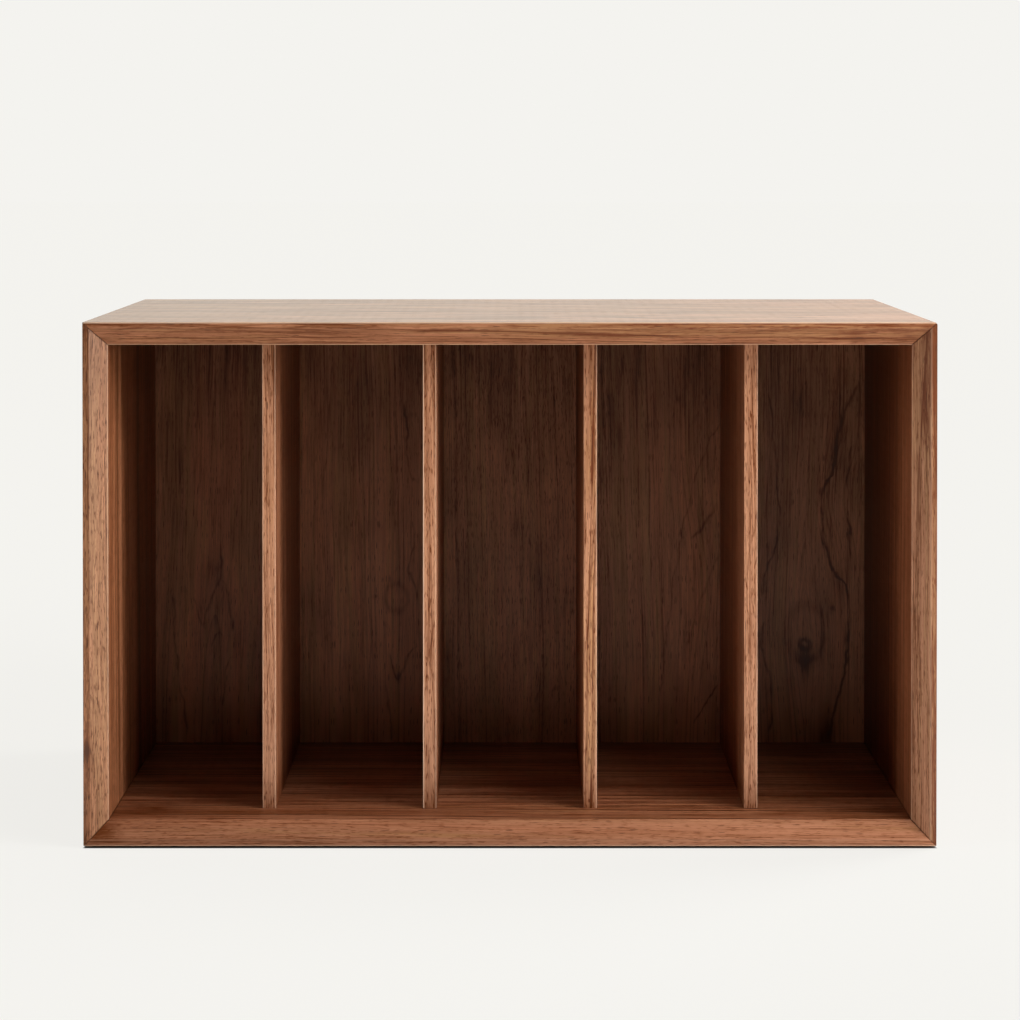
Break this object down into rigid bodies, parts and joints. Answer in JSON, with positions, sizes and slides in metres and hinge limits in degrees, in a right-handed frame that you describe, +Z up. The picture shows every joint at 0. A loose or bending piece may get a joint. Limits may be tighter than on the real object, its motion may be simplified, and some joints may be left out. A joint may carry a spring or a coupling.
{
  "type": "record storage stand",
  "caption": "Open-fronted walnut case with mitred corners, a bevelled front, upright dividers and a recessed back panel, for keeping records upright.",
  "frame": {"origin": "middle of the footprint, on the surface under the pads", "axes": "+X along the width to the right as seen from the open front, +Y from the open front to the rear, +Z up"},
  "size_m": [0.62, 0.4, 0.3825],
  "materials": {
    "walnut": "satin lacquer over straight and crown-cut walnut grain",
    "spline_wood": "raw",
    "screw_steel": "zinc plated",
    "felt": "pressed felt"
  },
  "bodies": {
    "root": {"top_board": "walnut", "bottom_board": "walnut", "left_side": "walnut", "right_side": "walnut", "top_left_spline": "spline_wood", "top_right_spline": "spline_wood", "bottom_left_spline": "spline_wood", "bottom_right_spline": "spline_wood", "divider_1": "walnut", "divider_2": "walnut", "divider_3": "walnut", "divider_4": "walnut", "back_panel": "walnut", "back_screws": "screw_steel", "front_left_pad": "felt", "front_right_pad": "felt", "rear_left_pad": "felt", "rear_right_pad": "felt"}
  },
  "joints": []
}
